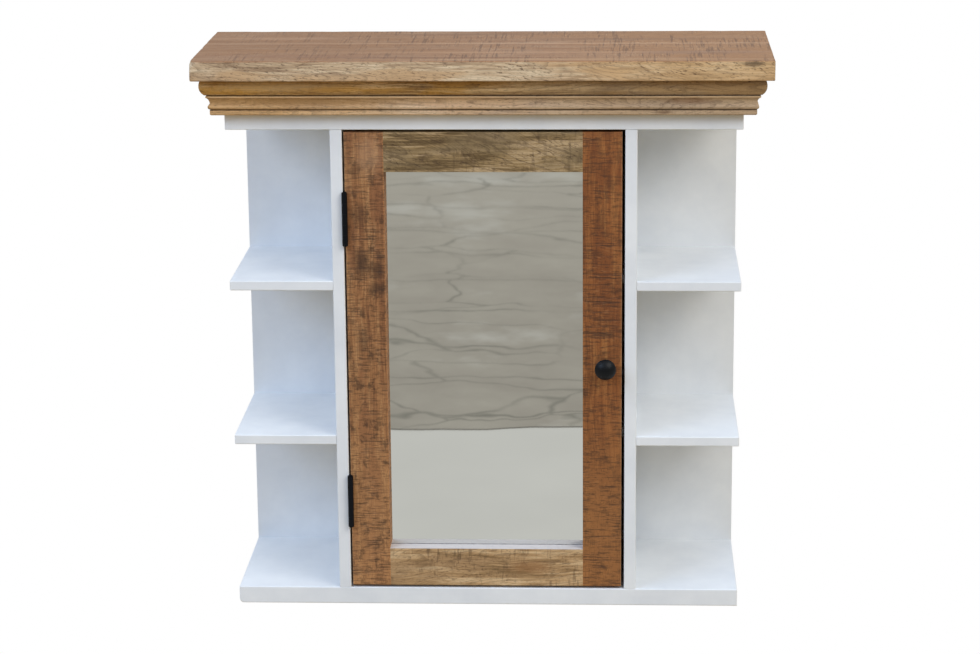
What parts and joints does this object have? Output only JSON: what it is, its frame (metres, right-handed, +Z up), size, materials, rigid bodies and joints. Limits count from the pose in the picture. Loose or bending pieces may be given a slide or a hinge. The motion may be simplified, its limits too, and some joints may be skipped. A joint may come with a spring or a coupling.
{
  "type": "wall mirror cabinet with open shelves",
  "caption": "Wall cabinet: a hinged mirror door between two columns of open shelves, under a moulded cornice and a thick plank top.",
  "frame": {"origin": "middle of the overall box in X and Y, on the underside of the bottom board", "axes": "+X to the viewer's right, +Y into the wall, +Z up; the mirror door faces -Y"},
  "size_m": [0.8, 0.28, 0.8],
  "materials": {
    "plank_wood": "rough-sawn hardwood under thin satin lacquer",
    "cornice_wood": "planed hardwood under thin satin lacquer",
    "door_wood": "rough-sawn hardwood under thin satin lacquer",
    "hidden_wood": "bare planed softwood",
    "dowel_wood": "bare beech",
    "white_paint": "white satin paint",
    "hardboard": "bare hardboard",
    "mirror_glass": "silvered float glass",
    "black_steel": "satin black",
    "black_screws": "satin black",
    "black_knob": "satin black",
    "zinc_screws": "zinc plated",
    "zinc_plate": "zinc plated",
    "magnet": "nickel plated",
    "catch_plastic": "matt"
  },
  "bodies": {
    "cabinet": {"top_plank": "plank_wood", "cornice_front": "cornice_wood", "cornice_left": "cornice_wood", "cornice_right": "cornice_wood", "cornice_back_rail": "hidden_wood", "cornice_dowels": "dowel_wood", "cornice_screws": "zinc_screws", "top_board": "white_paint", "bottom_board": "white_paint", "divider_left": "white_paint", "divider_right": "white_paint", "divider_screws": "zinc_screws", "back_panel": "white_paint", "back_panel_screws": "zinc_screws", "shelf_left_lower": "white_paint", "shelf_left_upper": "white_paint", "shelf_right_lower": "white_paint", "shelf_right_upper": "white_paint", "inner_shelf_lower": "white_paint", "inner_shelf_upper": "white_paint", "shelf_dowels": "dowel_wood", "hanger_plates": "zinc_plate", "hanger_screws": "zinc_screws", "catch_case": "catch_plastic", "catch_magnet": "magnet", "catch_screws": "zinc_screws", "hinge_frame_leaves": "black_steel", "hinge_frame_screws": "black_screws", "hinge_pins": "black_steel"},
    "door": {"door_stile_hinge": "door_wood", "door_stile_knob": "door_wood", "door_rail_top": "door_wood", "door_rail_bottom": "door_wood", "door_dowels": "dowel_wood", "mirror_glass": "mirror_glass", "mirror_backing": "hardboard", "turn_buttons": "zinc_plate", "turn_button_screws": "zinc_screws", "hinge_door_leaves": "black_steel", "hinge_door_screws": "black_screws", "knob": "black_knob", "knob_screw": "zinc_screws", "strike_plate": "zinc_plate", "strike_screw": "zinc_screws"}
  },
  "joints": [
    {"name": "door_swing", "type": "hinge", "parent": "cabinet", "child": "door", "pos_m": [-0.19475, -0.0963, 0.361], "axis": [0, 0, -1], "range_deg": [0, 175]}
  ]
}
